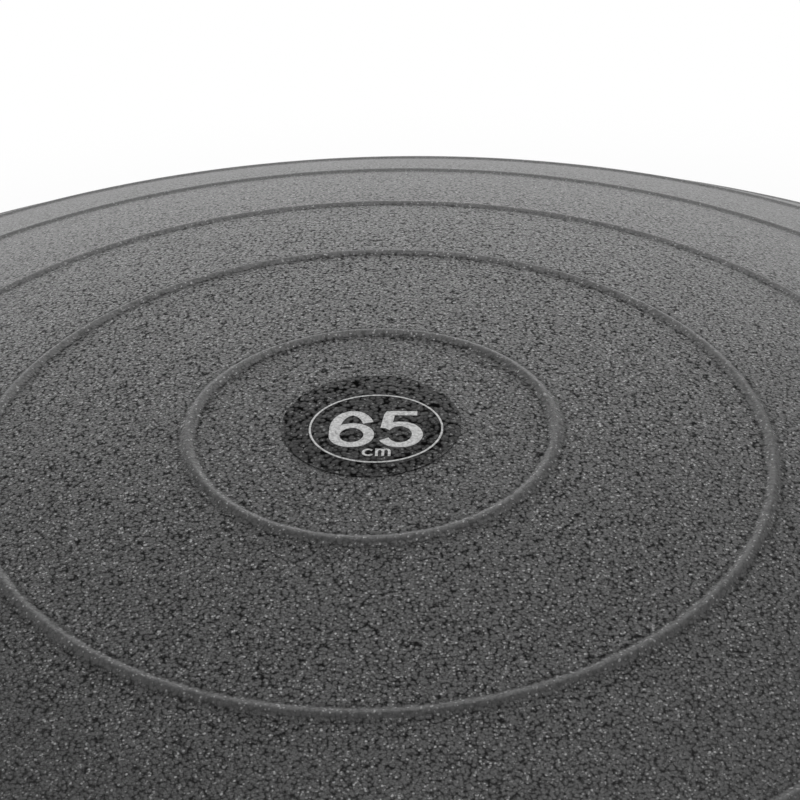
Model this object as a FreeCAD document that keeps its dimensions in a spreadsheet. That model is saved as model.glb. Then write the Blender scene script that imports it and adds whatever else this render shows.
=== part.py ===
"""Balance dome trainer: an air-filled rubber dome clamped to a rigid round platform.

The dome is a cap cut from a 65 cm ball. Its moulded bead is trapped between the platform's deck and a
clamp ring, which screws pull down from below. A pan with two handholds closes the underside and stands on
eight rubber feet. The air valve sits in a well under the platform. Millimetres, +Z up, and the origin is on
the floor under the dome's crown.
"""

import FreeCAD, Part
import math
import os

import Sketcher

Vector = FreeCAD.Vector
doc = FreeCAD.newDocument("balance_dome_trainer")

# ---------------------------------------------------------------- driving dimensions

DRIVING = [
    ("ball_diameter", 650, "ball that the dome is cut from"),
    ("overall_height", 250, "floor to crown, inflated"),
    ("dome_wall", 3, "rubber wall, and the flange at its foot"),
    ("rib_count", 9, "round ribs on the dome"),
    ("rib_angle_first", 4.77, "degrees from the crown to a rib"),
    ("rib_angle_second", 10.41, "degrees from the crown to a rib"),
    ("rib_angle_third", 15.52, "degrees from the crown to a rib"),
    ("rib_angle_fourth", 21.3, "degrees from the crown to a rib"),
    ("rib_pitch_angle", 5.5, "degrees from rib to rib, from the fourth rib on"),
    ("rib_width", 2.8, "width of a rib on the surface"),
    ("rib_height", 0.7, "how far a rib stands out"),
    ("bead_radius", 3.5, "round bead on the flange's edge"),
    ("bead_offset", 5.6, "dome's foot to the bead's middle"),
    ("heel", 6.4, "flange inside the dome's foot"),
    ("rim_width", 24.6, "dome's foot to the platform's edge"),
    ("foot_stand", 6, "floor to the pan"),
    ("pan_depth", 34, "pan, bottom to rim"),
    ("pan_wall", 3, "pan's wall"),
    ("pan_bend", 28, "bend between the pan's bottom and its side"),
    ("pan_slope", 41, "how far the bend and the sloping side reach in from the pan's edge"),
    ("pan_rim", 16, "solid rim that takes the clamp screws"),
    ("deck_thickness", 6, "deck plate"),
    ("ring_height", 16, "clamp ring above the deck"),
    ("ring_crown", 30, "radius of the clamp ring's rounded top"),
    ("ring_shoulder", 13, "crown's fall to the outer edge"),
    ("skirt", 3, "thickness of the clamp ring's skirt"),
    ("skirt_drop", 4, "skirt below the deck's top"),
    ("fit", 0.1, "clearance round the bead, the seal and the grips"),
    ("dome_gap", 0.4, "clearance between the dome and the clamp ring"),
    ("seal_section", 1.8, "radius of the seal's round section"),
    ("seal_offset", 3, "dome's foot in to the seal's middle"),
    ("screw_count", 16, "clamp screws, clear of the handholds"),
    ("screw_offset", 15, "dome's foot out to the clamp screws"),
    ("screw_radius", 2, "screw shank"),
    ("screw_length", 21, "shank of clamp and deck screws"),
    ("screw_clearance", 0.3, "clearance hole over the shank"),
    ("screw_bite", 0.05, "pilot hole over the shank"),
    ("head_radius", 3.9, "pan head"),
    ("head_height", 2.6, "pan head"),
    ("head_space", 0.6, "counterbore over the head"),
    ("clamp_seat", 7, "pan's rim under a clamp screw's head"),
    ("deck_screw_count", 6, "screws that hold the deck's middle"),
    ("deck_screw_circle", 150, "radius of their circle"),
    ("deck_boss_drop", 10, "bosses under the deck"),
    ("deck_boss_radius", 7, "bosses under the deck"),
    ("deck_seat", 14, "column above a deck screw's head"),
    ("post_radius", 9, "columns and bosses inside the pan"),
    ("web", 3, "stiffening ribs in the pan"),
    ("web_count", 12, "radial stiffening ribs"),
    ("hub_radius", 40, "inner stiffening ring"),
    ("belt_radius", 205, "outer stiffening ring"),
    ("handhold_width", 106, "across the hand"),
    ("handhold_depth", 57, "in from the edge"),
    ("handhold_corner", 8, "rounding of its corners"),
    ("bar_width", 25, "bar that the fingers hold, in from the edge"),
    ("bar_lift", 24, "room under the bar, from the pan's bottom"),
    ("pocket_roof", 3.5, "roof of the finger pocket"),
    ("grip_wall", 2.5, "rubber grip on the bar"),
    ("grip_reach", 10, "grip's width under the bar"),
    ("grip_length", 96, "grip"),
    ("peg_radius", 2, "pegs that hold the grip"),
    ("peg_length", 5, "pegs that hold the grip"),
    ("foot_count", 8, "rubber feet"),
    ("foot_inset", 70, "platform's edge in to the feet"),
    ("foot_radius", 18, "rubber foot"),
    ("foot_recess", 2, "foot's seat in the pan"),
    ("foot_play", 0.2, "clearance round the foot"),
    ("foot_edge", 2, "rounding of the foot's edge"),
    ("foot_screw_length", 14, "foot screw's shank"),
    ("foot_seat", 4, "floor to the foot screw's seat"),
    ("valve_circle", 150, "crown's axis to the valve"),
    ("well_radius", 24, "well round the valve"),
    ("well_wall", 3, "well's wall"),
    ("barrel_radius", 9, "valve barrel"),
    ("barrel_drop", 24, "barrel below the deck's top"),
    ("valve_bore", 4.6, "radius of the air bore"),
    ("valve_flange", 18, "radius of the valve's flange"),
    ("flange_height", 3.5, "valve's flange"),
    ("washer_height", 1.5, "washer under the flange"),
    ("nut_flats", 30, "valve nut across its flats"),
    ("nut_height", 8, "valve nut"),
    ("plug_play", 0.05, "clearance round the plug"),
    ("plug_head", 9, "radius of the plug's head"),
    ("plug_head_height", 3, "plug's head"),
    ("plug_length", 18, "plug's shank"),
    ("tab_height", 4, "pull tab under the plug's head"),
    ("tab_width", 12, "pull tab"),
    ("tab_thickness", 3, "pull tab"),
    ("patch_radius", 13.2, "round patch on the crown"),
    ("patch_height", 0.35, "patch"),
    ("patch_gap", 0.05, "glue line under the patch"),
]


def make_sheet():
    """The spreadsheet of driving dimensions, one alias to a cell."""
    sheet = doc.addObject("Spreadsheet::Sheet", "dims")
    for row, (alias, size, note) in enumerate(DRIVING, start=1):
        sheet.set(f"A{row}", note)
        sheet.set(f"B{row}", str(size))
        sheet.setAlias(f"B{row}", alias)
    doc.recompute()
    return sheet


SHEET = make_sheet()


def number(expression):
    """What an expression on the sheet is worth."""
    return float(SHEET.evalExpression(expression))


def count(alias):
    return int(round(number(f"dims.{alias}")))


# ---------------------------------------------------------------- levels and radii that follow

PAN_BOTTOM = "dims.foot_stand"
PAN_FLOOR = "(dims.foot_stand + dims.pan_wall)"
PAN_TOP = "(dims.foot_stand + dims.pan_depth)"
DECK_TOP = f"({PAN_TOP} + dims.deck_thickness)"
FLANGE_TOP = f"({DECK_TOP} + dims.dome_wall)"
BEAD_LEVEL = f"({DECK_TOP} + dims.dome_wall / 2)"
RING_TOP = f"({DECK_TOP} + dims.ring_height)"
SKIRT_FOOT = f"({DECK_TOP} - dims.skirt_drop)"
CLAMP_SEAT = f"({PAN_TOP} - dims.clamp_seat)"
BAR_UNDER = f"({PAN_BOTTOM} + dims.bar_lift)"
POCKET_TOP = f"({PAN_TOP} - dims.pocket_roof)"
POST_TOP = f"({PAN_TOP} - dims.deck_boss_drop)"
DECK_SEAT = f"({POST_TOP} - dims.deck_seat)"
FOOT_TOP = f"({PAN_BOTTOM} + dims.foot_recess)"
BARREL_FOOT = f"({DECK_TOP} - dims.barrel_drop)"

BALL_RADIUS = "(dims.ball_diameter / 2)"
BALL_CENTRE = "(dims.overall_height - dims.ball_diameter / 2)"


def ball_at(level, radius=BALL_RADIUS):
    """Radius, at a level, of a sphere about the ball's centre."""
    return f"sqrt({radius}^2 - ({level} - {BALL_CENTRE})^2)"


INNER_RADIUS = f"({BALL_RADIUS} - dims.dome_wall)"
DOME_FOOT = f"({ball_at(FLANGE_TOP)})"
BEAD_RADIUS = f"({DOME_FOOT} + dims.bead_offset)"
SEAL_RADIUS = f"({DOME_FOOT} - dims.seal_offset)"
SCREW_CIRCLE = f"({DOME_FOOT} + dims.screw_offset)"
RIM_RADIUS = f"({DOME_FOOT} + dims.rim_width)"
PAN_RADIUS = f"({RIM_RADIUS} - 1)"
DECK_RADIUS = f"({RIM_RADIUS} - dims.skirt - dims.fit * 5)"
FOOT_CIRCLE = f"({RIM_RADIUS} - dims.foot_inset)"
HANDHOLD_BACK = f"({RIM_RADIUS} - dims.handhold_depth)"
BAR_BACK = f"({RIM_RADIUS} - dims.bar_width)"
GROOVE = "(dims.bead_radius + dims.fit)"
BORE_PILOT = "(dims.screw_radius + dims.screw_bite)"
BORE_CLEAR = "(dims.screw_radius + dims.screw_clearance)"
BORE_HEAD = "(dims.head_radius + dims.head_space)"


def chord(radius, offset):
    """Half the chord that a line at this offset cuts from a circle."""
    return f"sqrt({radius}^2 - ({offset})^2)"


# ---------------------------------------------------------------- sketches


def arc_through(start, end, radius, side):
    """The short arc from start to end with this radius, bulging to the left (side 1) or the right (-1)."""
    along = end - start
    half = along.Length / 2
    left = Vector(-along.y, along.x, 0).normalize()
    centre = (start + end) / 2 - left * side * math.sqrt(max(radius**2 - half**2, 0))
    circle = Part.Circle(centre, Vector(0, 0, 1), radius)
    first, last = (end, start) if side > 0 else (start, end)
    angles = [math.atan2(p.y - centre.y, p.x - centre.x) for p in (first, last)]
    if angles[1] < angles[0]:
        angles[1] += 2 * math.pi
    return Part.ArcOfCircle(circle, *angles)


def pin(sketch, geometry, point, expressions):
    """Holds one point of a sketch at two expressions."""
    for kind, expression in zip(("DistanceX", "DistanceY"), expressions):
        held = Sketcher.Constraint(kind, -1, 1, geometry, point, number(expression))
        sketch.setExpression(f"Constraints[{sketch.addConstraint(held)}]", expression)


def draw(sketch, corners, curves):
    """Draws a closed outline. Edge k runs from corner k to the next, and curves[k] makes it an arc."""
    places = [Vector(number(a), number(b), 0) for a, b in corners]
    edges = []
    for k, start in enumerate(places):
        end = places[(k + 1) % len(places)]
        if k not in curves:
            edges.append((sketch.addGeometry(Part.LineSegment(start, end), False), 1, 2))
            continue
        radius, side = curves[k]
        arc = sketch.addGeometry(arc_through(start, end, number(radius), side), False)
        edges.append((arc, 2, 1) if side > 0 else (arc, 1, 2))
    for k, (edge, start, end) in enumerate(edges):
        following, its_start, _ = edges[(k + 1) % len(edges)]
        sketch.addConstraint(Sketcher.Constraint("Coincident", edge, end, following, its_start))
        pin(sketch, edge, start, corners[k])
        if k in curves:
            held = Sketcher.Constraint("Radius", edge, number(curves[k][0]))
            sketch.setExpression(f"Constraints[{sketch.addConstraint(held)}]", curves[k][0])
    return sketch


def upright_sketch(name, corners, curves=None):
    """A sketch of its own on the XZ plane, for turning about Z."""
    sketch = doc.addObject("Sketcher::SketchObject", name)
    sketch.Placement = FreeCAD.Placement(Vector(), FreeCAD.Rotation(Vector(1, 0, 0), 90))
    return draw(sketch, corners, curves or {})


def flat_sketch(name, corners, curves=None, level="0"):
    """A sketch of its own on a level plane, for raising along Z."""
    sketch = doc.addObject("Sketcher::SketchObject", name)
    sketch.setExpression("Placement.Base.z", level)
    return draw(sketch, corners, curves or {})


def body_sketch(body, name, role, corners=None, curves=None):
    """A sketch in a body, on one of the body's own origin planes."""
    sketch = body.newObject("Sketcher::SketchObject", name)
    plane = next(f for f in body.Origin.OriginFeatures if f.Role == role)
    sketch.AttachmentSupport = [(plane, "")]
    sketch.MapMode = "FlatFace"
    return draw(sketch, corners, curves or {}) if corners else sketch


# ---------------------------------------------------------------- solids


def new_body(label):
    body = doc.addObject("PartDesign::Body", label)
    body.Label = label
    return body


def turned_body(label, corners, curves=None):
    """A body made by turning an outline round Z."""
    body = new_body(label)
    sketch = body_sketch(body, label + "_outline", "XZ_Plane", corners, curves)
    turn = body.newObject("PartDesign::Revolution", label + "_turn")
    turn.Profile = sketch
    turn.ReferenceAxis = (sketch, ["V_Axis"])
    turn.Angle = 360
    doc.recompute()
    return body


def draw_circle(sketch, radius, across, along):
    """Adds one circle to a sketch, with its centre and its radius held."""
    centre = Vector(number(across), number(along), 0)
    circle = sketch.addGeometry(Part.Circle(centre, Vector(0, 0, 1), number(radius)), False)
    pin(sketch, circle, 3, (across, along))
    held = sketch.addConstraint(Sketcher.Constraint("Radius", circle, number(radius)))
    sketch.setExpression(f"Constraints[{held}]", radius)


def pocket_circles(body, name, radius, places, low, high, pattern=None):
    """Round holes in a body from one level up to another, repeated round Z where a count is given."""
    sketch = body_sketch(body, name + "_outline", "XY_Plane")
    sketch.setExpression(".AttachmentOffset.Base.z", low)
    for across, along in places:
        draw_circle(sketch, radius, across, along)
    pocket = body.newObject("PartDesign::Pocket", name)
    pocket.Profile = sketch
    pocket.Type = "Length"
    pocket.Reversed = True
    pocket.setExpression("Length", f"{high} - {low}")
    doc.recompute()
    if pattern:
        repeat_round(body, pocket, sketch, pattern)
    return pocket


def repeat_round(body, feature, sketch, pattern):
    """Repeats a feature of a body evenly round Z."""
    pattern_feature = body.newObject("PartDesign::PolarPattern", feature.Name + "_pattern")
    pattern_feature.Originals = [feature]
    pattern_feature.Axis = (sketch, ["N_Axis"])
    pattern_feature.Angle = 360
    pattern_feature.setExpression("Occurrences", pattern)
    body.Tip = pattern_feature
    doc.recompute()


def revolved(name, sketch):
    """A sketch turned round Z, as a Part object."""
    solid = doc.addObject("Part::Revolution", name)
    solid.Source = sketch
    solid.Axis = Vector(0, 0, 1)
    solid.Base = Vector(0, 0, 0)
    solid.Angle = 360
    solid.Solid = True
    return solid


def raised(name, sketch, height):
    """A level sketch raised along Z."""
    solid = doc.addObject("Part::Extrusion", name)
    solid.Base = sketch
    solid.DirMode = "Custom"
    solid.Dir = Vector(0, 0, 1)
    solid.setExpression("LengthFwd", height)
    solid.Solid = True
    return solid


def place(thing, across="0", along="0", up="0", turn="0"):
    """Binds an object's place, and its turn about Z in degrees."""
    for axis, expression in zip("xyz", (across, along, up)):
        thing.setExpression(f"Placement.Base.{axis}", expression)
    thing.Placement.Rotation = FreeCAD.Rotation(Vector(0, 0, 1), number(turn))
    return thing


def on_circle(radius, step, how_many, start="0"):
    """Across and along of the step-th place on a circle."""
    angle = f"({start} + {step} * 360 / {how_many})"
    return f"{radius} * cos({angle})", f"{radius} * sin({angle})", angle


def post(name, radius, low, high, across="0", along="0"):
    """An upright cylinder between two levels."""
    solid = doc.addObject("Part::Cylinder", name)
    solid.setExpression("Radius", radius)
    solid.setExpression("Height", f"{high} - {low}")
    return place(solid, across, along, low)


def tube(name, inner, wall, low, high):
    """An upright ring between two levels."""
    corners = [
        (inner, low),
        (f"{inner} + {wall}", low),
        (f"{inner} + {wall}", high),
        (inner, high),
    ]
    return revolved(name, upright_sketch(name + "_outline", corners))


def fused(name, pieces):
    solid = doc.addObject("Part::MultiFuse", name)
    solid.Shapes = pieces
    return solid


def cut(name, base, tool):
    solid = doc.addObject("Part::Cut", name)
    solid.Base = base
    solid.Tool = tool
    return solid


def copies(label, original, places):
    """One node that holds a copy of a solid at each place."""
    links = []
    for k, (across, along, up) in enumerate(places):
        link = doc.addObject("App::Link", f"{label}_{k + 1}")
        link.LinkedObject = original
        links.append(place(link, across, along, up))
    group = doc.addObject("Part::Compound", label)
    group.Label = label
    group.Links = links
    return group


# ---------------------------------------------------------------- the dome


def dome_corner(angle, radius=BALL_RADIUS):
    """A point on a sphere about the ball's centre, at an angle from the crown."""
    return f"{radius} * sin({angle})", f"{BALL_CENTRE} + {radius} * cos({angle})"


def rib_angle(k):
    """Degrees from the crown to rib k, counted from 0. The ribs are evenly spaced from the fourth on."""
    named = ["first", "second", "third", "fourth"]
    if k < len(named):
        return f"dims.rib_angle_{named[k]}"
    return f"(dims.rib_angle_fourth + {k + 1 - len(named)} * dims.rib_pitch_angle)"


def make_dome_shell():
    """The rubber cap with its round ribs, flange and bead, in one outline turned about the crown's axis."""
    half_rib = "dims.rib_width / dims.ball_diameter * 180 / pi"
    bump = "((dims.rib_width / 2)^2 + dims.rib_height^2) / (2 * dims.rib_height)"
    corners, curves = [("0", "dims.overall_height")], {}
    for k in range(count("rib_count")):
        curves[len(corners) - 1] = (BALL_RADIUS, 1)
        corners.append(dome_corner(f"({rib_angle(k)} - {half_rib})"))
        curves[len(corners) - 1] = (bump, 1)
        corners.append(dome_corner(f"({rib_angle(k)} + {half_rib})"))
    curves[len(corners) - 1] = (BALL_RADIUS, 1)
    neck = chord("dims.bead_radius", "dims.dome_wall / 2")
    corners.append((DOME_FOOT, FLANGE_TOP))
    corners.append((f"{BEAD_RADIUS} - {neck}", FLANGE_TOP))
    curves[len(corners) - 1] = ("dims.bead_radius", 1)
    corners.append((f"{BEAD_RADIUS} + dims.bead_radius", BEAD_LEVEL))
    curves[len(corners) - 1] = ("dims.bead_radius", 1)
    corners.append((f"{BEAD_RADIUS} - {neck}", DECK_TOP))
    corners.append((f"{DOME_FOOT} - dims.heel", DECK_TOP))
    corners.append((f"{DOME_FOOT} - dims.heel", FLANGE_TOP))
    corners.append((ball_at(FLANGE_TOP, INNER_RADIUS), FLANGE_TOP))
    curves[len(corners) - 1] = (INNER_RADIUS, -1)
    corners.append(("0", "dims.overall_height - dims.dome_wall"))
    return turned_body("dome_shell", corners, curves)


def make_size_patch():
    """The thin round patch on the crown that carries the size mark."""
    low = f"({BALL_RADIUS} + dims.patch_gap)"
    high = f"({low} + dims.patch_height)"
    corners = [
        ("0", f"{BALL_CENTRE} + {high}"),
        ("dims.patch_radius", f"{BALL_CENTRE} + {chord(high, 'dims.patch_radius')}"),
        ("dims.patch_radius", f"{BALL_CENTRE} + {chord(low, 'dims.patch_radius')}"),
        ("0", f"{BALL_CENTRE} + {low}"),
    ]
    return turned_body("size_patch", corners, {0: (high, 1), 2: (low, -1)})


# ---------------------------------------------------------------- what clamps and seals the dome


def make_clamp_ring():
    """The rounded ring over the bead. Its inner wall leans with the dome, and blind holes take the screws."""
    lip = f"({RING_TOP} - 1)"
    inner_lip = f"({ball_at(lip)} + dims.dome_gap)"
    above_flange = f"({FLANGE_TOP} + dims.fit)"
    corners = [
        (f"{BEAD_RADIUS} + {chord(GROOVE, 'dims.dome_wall / 2')}", DECK_TOP),
        (BEAD_RADIUS, f"{BEAD_LEVEL} + {GROOVE}"),
        (f"{BEAD_RADIUS} - {chord(GROOVE, f'{above_flange} - {BEAD_LEVEL}')}", above_flange),
        (f"{DOME_FOOT} + dims.dome_gap", above_flange),
        (inner_lip, lip),
        (f"{inner_lip} + 2", RING_TOP),
        (RIM_RADIUS, f"{RING_TOP} - dims.ring_shoulder"),
        (RIM_RADIUS, SKIRT_FOOT),
        (f"{RIM_RADIUS} - dims.skirt", SKIRT_FOOT),
        (f"{RIM_RADIUS} - dims.skirt", DECK_TOP),
    ]
    curves = {0: (GROOVE, -1), 1: (GROOVE, -1), 5: ("dims.ring_crown", 1)}
    body = turned_body("clamp_ring", corners, curves)
    across, along, _ = on_circle(SCREW_CIRCLE, 0.5, "dims.screw_count")
    tip = f"({CLAMP_SEAT} + dims.screw_length + 1)"
    pocket_circles(body, "ring_pilots", BORE_PILOT, [(across, along)], DECK_TOP, tip, "dims.screw_count")
    return body


def make_rim_seal():
    """The round seal in the deck's groove, under the dome's heel."""
    ring = doc.addObject("Part::Torus", "rim_seal")
    ring.setExpression("Radius1", SEAL_RADIUS)
    ring.setExpression("Radius2", "dims.seal_section")
    return place(ring, up=f"{DECK_TOP} - dims.seal_section - dims.fit")


def make_deck_plate():
    """The stiff plate that closes the air space, with grooves for the seal and the bead and bosses below."""
    bead_half = chord(GROOVE, "dims.dome_wall / 2")
    seal_half = "(dims.seal_section + 2 * dims.fit)"
    seal_floor = f"({DECK_TOP} - 2 * {seal_half} + 2 * dims.fit)"
    corners = [
        ("0", PAN_TOP),
        (DECK_RADIUS, PAN_TOP),
        (DECK_RADIUS, DECK_TOP),
        (f"{BEAD_RADIUS} + {bead_half}", DECK_TOP),
        (f"{BEAD_RADIUS} - {bead_half}", DECK_TOP),
        (f"{SEAL_RADIUS} + {seal_half}", DECK_TOP),
        (f"{SEAL_RADIUS} + {seal_half}", seal_floor),
        (f"{SEAL_RADIUS} - {seal_half}", seal_floor),
        (f"{SEAL_RADIUS} - {seal_half}", DECK_TOP),
        ("0", DECK_TOP),
    ]
    body = turned_body("deck_plate", corners, {3: (GROOVE, 1)})
    across, along, _ = on_circle("dims.deck_screw_circle", 0, "dims.deck_screw_count")
    sketch = body_sketch(body, "deck_boss_outline", "XY_Plane")
    sketch.setExpression(".AttachmentOffset.Base.z", POST_TOP)
    draw_circle(sketch, "dims.deck_boss_radius", across, along)
    boss = body.newObject("PartDesign::Pad", "deck_boss")
    boss.Profile = sketch
    boss.setExpression("Length", "dims.deck_boss_drop + dims.deck_thickness / 2")
    doc.recompute()
    repeat_round(body, boss, sketch, "dims.deck_screw_count")
    tip = f"({DECK_SEAT} + dims.screw_length + 1)"
    pocket_circles(body, "deck_pilots", BORE_PILOT, [(across, along)], POST_TOP, tip, "dims.deck_screw_count")
    clamp_hole = on_circle(SCREW_CIRCLE, 0.5, "dims.screw_count")[:2]
    pocket_circles(body, "clamp_holes", BORE_CLEAR, [clamp_hole], PAN_TOP, DECK_TOP, "dims.screw_count")
    hole = "(dims.barrel_radius + dims.screw_clearance)"
    pocket_circles(body, "valve_hole", hole, [("0", "-dims.valve_circle")], PAN_TOP, DECK_TOP)
    return body


# ---------------------------------------------------------------- the pan


def pan_corners(wall, low, high):
    """Outline of the pan's solid, or of its inside a wall's thickness in: bottom, bend and 45 degree side."""
    slope_start = f"({PAN_RADIUS} - dims.pan_slope)"
    centre = f"({PAN_BOTTOM} + dims.pan_bend)"
    bend = f"(dims.pan_bend - {wall})"
    bend_out = f"({slope_start} + {bend} * sin(45))"
    bend_up = f"({centre} - {bend} * cos(45))"
    edge = PAN_RADIUS if wall == "0" else f"({PAN_RADIUS} - dims.pan_rim)"
    corners = [
        ("0", low),
        (slope_start, low),
        (bend_out, bend_up),
        (edge, f"({bend_up} + {edge} - {bend_out})"),
        (edge, high),
        ("0", high),
    ]
    return corners, {1: (bend, -1)}


def finger_block(name, back, front, half_width, corner, low, high, side):
    """An upright block with rounded back corners, on the right (side 1) or the left (-1)."""
    corners = [
        (front, f"-{half_width}"),
        (front, half_width),
        (f"{back} + {corner}", half_width),
        (back, f"{half_width} - {corner}"),
        (back, f"{corner} - {half_width}"),
        (f"{back} + {corner}", f"-{half_width}"),
    ]
    sketch = flat_sketch(name + "_outline", corners, {2: (corner, -1), 4: (corner, -1)})
    block = raised(name, sketch, f"{high} - {low}")
    return place(block, up=low, turn="0" if side > 0 else "180")


def pan_islands():
    """All that stands inside the pan: screw columns, foot bosses, the well and the handholds' walls."""
    well_wall = "dims.well_radius + dims.well_wall"
    islands = [post("well_tower", well_wall, PAN_FLOOR, PAN_TOP, along="-dims.valve_circle")]
    for k in range(count("deck_screw_count")):
        across, along, _ = on_circle("dims.deck_screw_circle", k, "dims.deck_screw_count")
        islands.append(post(f"deck_post_{k + 1}", "dims.post_radius", PAN_FLOOR, POST_TOP, across, along))
    foot_post_top = f"({FOOT_TOP} + dims.foot_screw_length)"
    for k in range(count("foot_count")):
        across, along, _ = on_circle(FOOT_CIRCLE, k + 0.5, "dims.foot_count")
        islands.append(
            post(f"foot_post_{k + 1}", "dims.post_radius", PAN_FLOOR, foot_post_top, across, along)
        )
        foot_pad = f"({FOOT_TOP} + dims.pan_wall)"
        islands.append(
            post(f"foot_pad_{k + 1}", "dims.foot_radius + dims.pan_wall", PAN_FLOOR, foot_pad, across, along)
        )
    for side, name in ((1, "right"), (-1, "left")):
        back = f"({HANDHOLD_BACK} - dims.pan_wall)"
        half = "(dims.handhold_width / 2 + dims.pan_wall)"
        corner = "(dims.handhold_corner + dims.pan_wall)"
        block = finger_block(f"{name}_liner", back, RIM_RADIUS, half, corner, PAN_FLOOR, PAN_TOP, side)
        islands.append(block)
    return islands


def pan_cuts():
    """Everything that is taken out of the pan from below."""
    cuts = []
    half = "(dims.handhold_width / 2)"
    front = f"({RIM_RADIUS} + 10)"
    for side, name in ((1, "right"), (-1, "left")):
        corner = "dims.handhold_corner"
        mouth = finger_block(f"{name}_mouth", HANDHOLD_BACK, front, half, corner, "0", BAR_UNDER, side)
        hollow = finger_block(f"{name}_pocket", HANDHOLD_BACK, BAR_BACK, half, corner, "1", POCKET_TOP, side)
        cuts += [mouth, hollow]
        for way in (-1, 1):
            across = f"{side} * ({BAR_BACK} + dims.grip_reach / 2)"
            along = f"{way} * dims.grip_length / 4"
            peg_top = f"({BAR_UNDER} + dims.peg_length + dims.fit)"
            label = f"{name}_peg_hole_{(way + 3) // 2}"
            cuts.append(post(label, "dims.peg_radius + dims.fit", BAR_UNDER, peg_top, across, along))
    for k in range(count("screw_count")):
        across, along, _ = on_circle(SCREW_CIRCLE, k + 0.5, "dims.screw_count")
        cuts.append(post(f"clamp_head_{k + 1}", BORE_HEAD, PAN_BOTTOM, CLAMP_SEAT, across, along))
        cuts.append(post(f"clamp_shank_{k + 1}", BORE_CLEAR, PAN_BOTTOM, PAN_TOP, across, along))
    for k in range(count("deck_screw_count")):
        across, along, _ = on_circle("dims.deck_screw_circle", k, "dims.deck_screw_count")
        cuts.append(post(f"deck_head_{k + 1}", BORE_HEAD, "0", DECK_SEAT, across, along))
        cuts.append(post(f"deck_shank_{k + 1}", BORE_CLEAR, "0", PAN_TOP, across, along))
    tip = f"({FOOT_TOP} + dims.foot_screw_length - dims.foot_recess)"
    for k in range(count("foot_count")):
        across, along, _ = on_circle(FOOT_CIRCLE, k + 0.5, "dims.foot_count")
        seat_radius = "dims.foot_radius + dims.foot_play"
        cuts.append(post(f"foot_seat_{k + 1}", seat_radius, "0", FOOT_TOP, across, along))
        cuts.append(post(f"foot_pilot_{k + 1}", BORE_PILOT, "0", tip, across, along))
    cuts.append(post("well", "dims.well_radius", "0", PAN_TOP, along="-dims.valve_circle"))
    return cuts


def make_base_pan():
    """The moulded pan: its solid outside, less its inside apart from islands, less what is cut from below."""
    outer_corners, outer_curves = pan_corners("0", PAN_BOTTOM, PAN_TOP)
    outside = revolved("pan_outside", upright_sketch("pan_outside_outline", outer_corners, outer_curves))
    inner_corners, inner_curves = pan_corners("dims.pan_wall", PAN_FLOOR, f"({PAN_TOP} + 2)")
    inside = revolved("pan_inside", upright_sketch("pan_inside_outline", inner_corners, inner_curves))
    hollow = cut("pan_hollow", inside, fused("pan_islands", pan_islands()))
    tray = cut("pan_tray", outside, hollow)
    return cut("base_pan", tray, fused("pan_cuts", pan_cuts()))


def make_stiffening_grid():
    """The welded-in grid that holds the deck off the pan's floor: two rings and radial webs."""
    pieces = [
        tube("hub_ring", "dims.hub_radius", "dims.web", PAN_FLOOR, PAN_TOP),
        tube("belt_ring", "dims.belt_radius", "dims.web", PAN_FLOOR, PAN_TOP),
    ]
    for k in range(count("web_count")):
        _, _, angle = on_circle("1", k + 0.5, "dims.web_count")
        web = doc.addObject("Part::Box", f"web_{k + 1}")
        web.setExpression("Length", f"{FOOT_CIRCLE} - dims.hub_radius")
        web.setExpression("Width", "dims.web")
        web.setExpression("Height", f"{PAN_TOP} - {PAN_FLOOR}")
        across = f"(dims.hub_radius + dims.web / 2) * cos({angle}) + dims.web / 2 * sin({angle})"
        along = f"(dims.hub_radius + dims.web / 2) * sin({angle}) - dims.web / 2 * cos({angle})"
        pieces.append(place(web, across, along, PAN_FLOOR, angle))
    return fused("stiffening_grid", pieces)


# ---------------------------------------------------------------- grips and feet


def make_grip(name, side):
    """The rubber strip under and behind a handhold's bar, with two pegs."""
    half = "(dims.grip_length / 2)"
    under = f"({BAR_UNDER} - dims.grip_wall)"
    back = f"({BAR_BACK} - dims.grip_wall)"
    flat = doc.addObject("Part::Box", f"{name}_flat")
    flat.setExpression("Length", "dims.grip_reach + dims.grip_wall")
    flat.setExpression("Width", "dims.grip_length")
    flat.setExpression("Height", "dims.grip_wall")
    place(flat, back, f"-{half}", under)
    leg = doc.addObject("Part::Box", f"{name}_leg")
    leg.setExpression("Length", "dims.grip_wall")
    leg.setExpression("Width", "dims.grip_length")
    leg.setExpression("Height", f"{POCKET_TOP} - dims.fit - {under}")
    place(leg, back, f"-{half}", under)
    pieces = [flat, leg]
    for way in (-1, 1):
        along = f"{way} * dims.grip_length / 4"
        top = f"({BAR_UNDER} + dims.peg_length)"
        across = f"{BAR_BACK} + dims.grip_reach / 2"
        pieces.append(post(f"{name}_peg_{(way + 3) // 2}", "dims.peg_radius", under, top, across, along))
    return place(fused(name, pieces), turn="0" if side > 0 else "180")


def foot_outline():
    """A foot's section: a flat pad with a rounded edge and a stepped hole for its screw."""
    corners = [
        ("dims.head_radius + dims.foot_play", "0"),
        ("dims.foot_radius - dims.foot_edge", "0"),
        ("dims.foot_radius", "dims.foot_edge"),
        ("dims.foot_radius", FOOT_TOP),
        (BORE_CLEAR, FOOT_TOP),
        (BORE_CLEAR, "dims.foot_seat"),
        ("dims.head_radius + dims.foot_play", "dims.foot_seat"),
    ]
    return upright_sketch("foot_outline", corners, {1: ("dims.foot_edge", -1)})


def make_feet():
    sketch = foot_outline()
    feet = []
    for k in range(count("foot_count")):
        across, along, _ = on_circle(FOOT_CIRCLE, k + 0.5, "dims.foot_count")
        feet.append(place(revolved(f"foot_{k + 1}", sketch), across, along))
    return feet


# ---------------------------------------------------------------- screws


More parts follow.
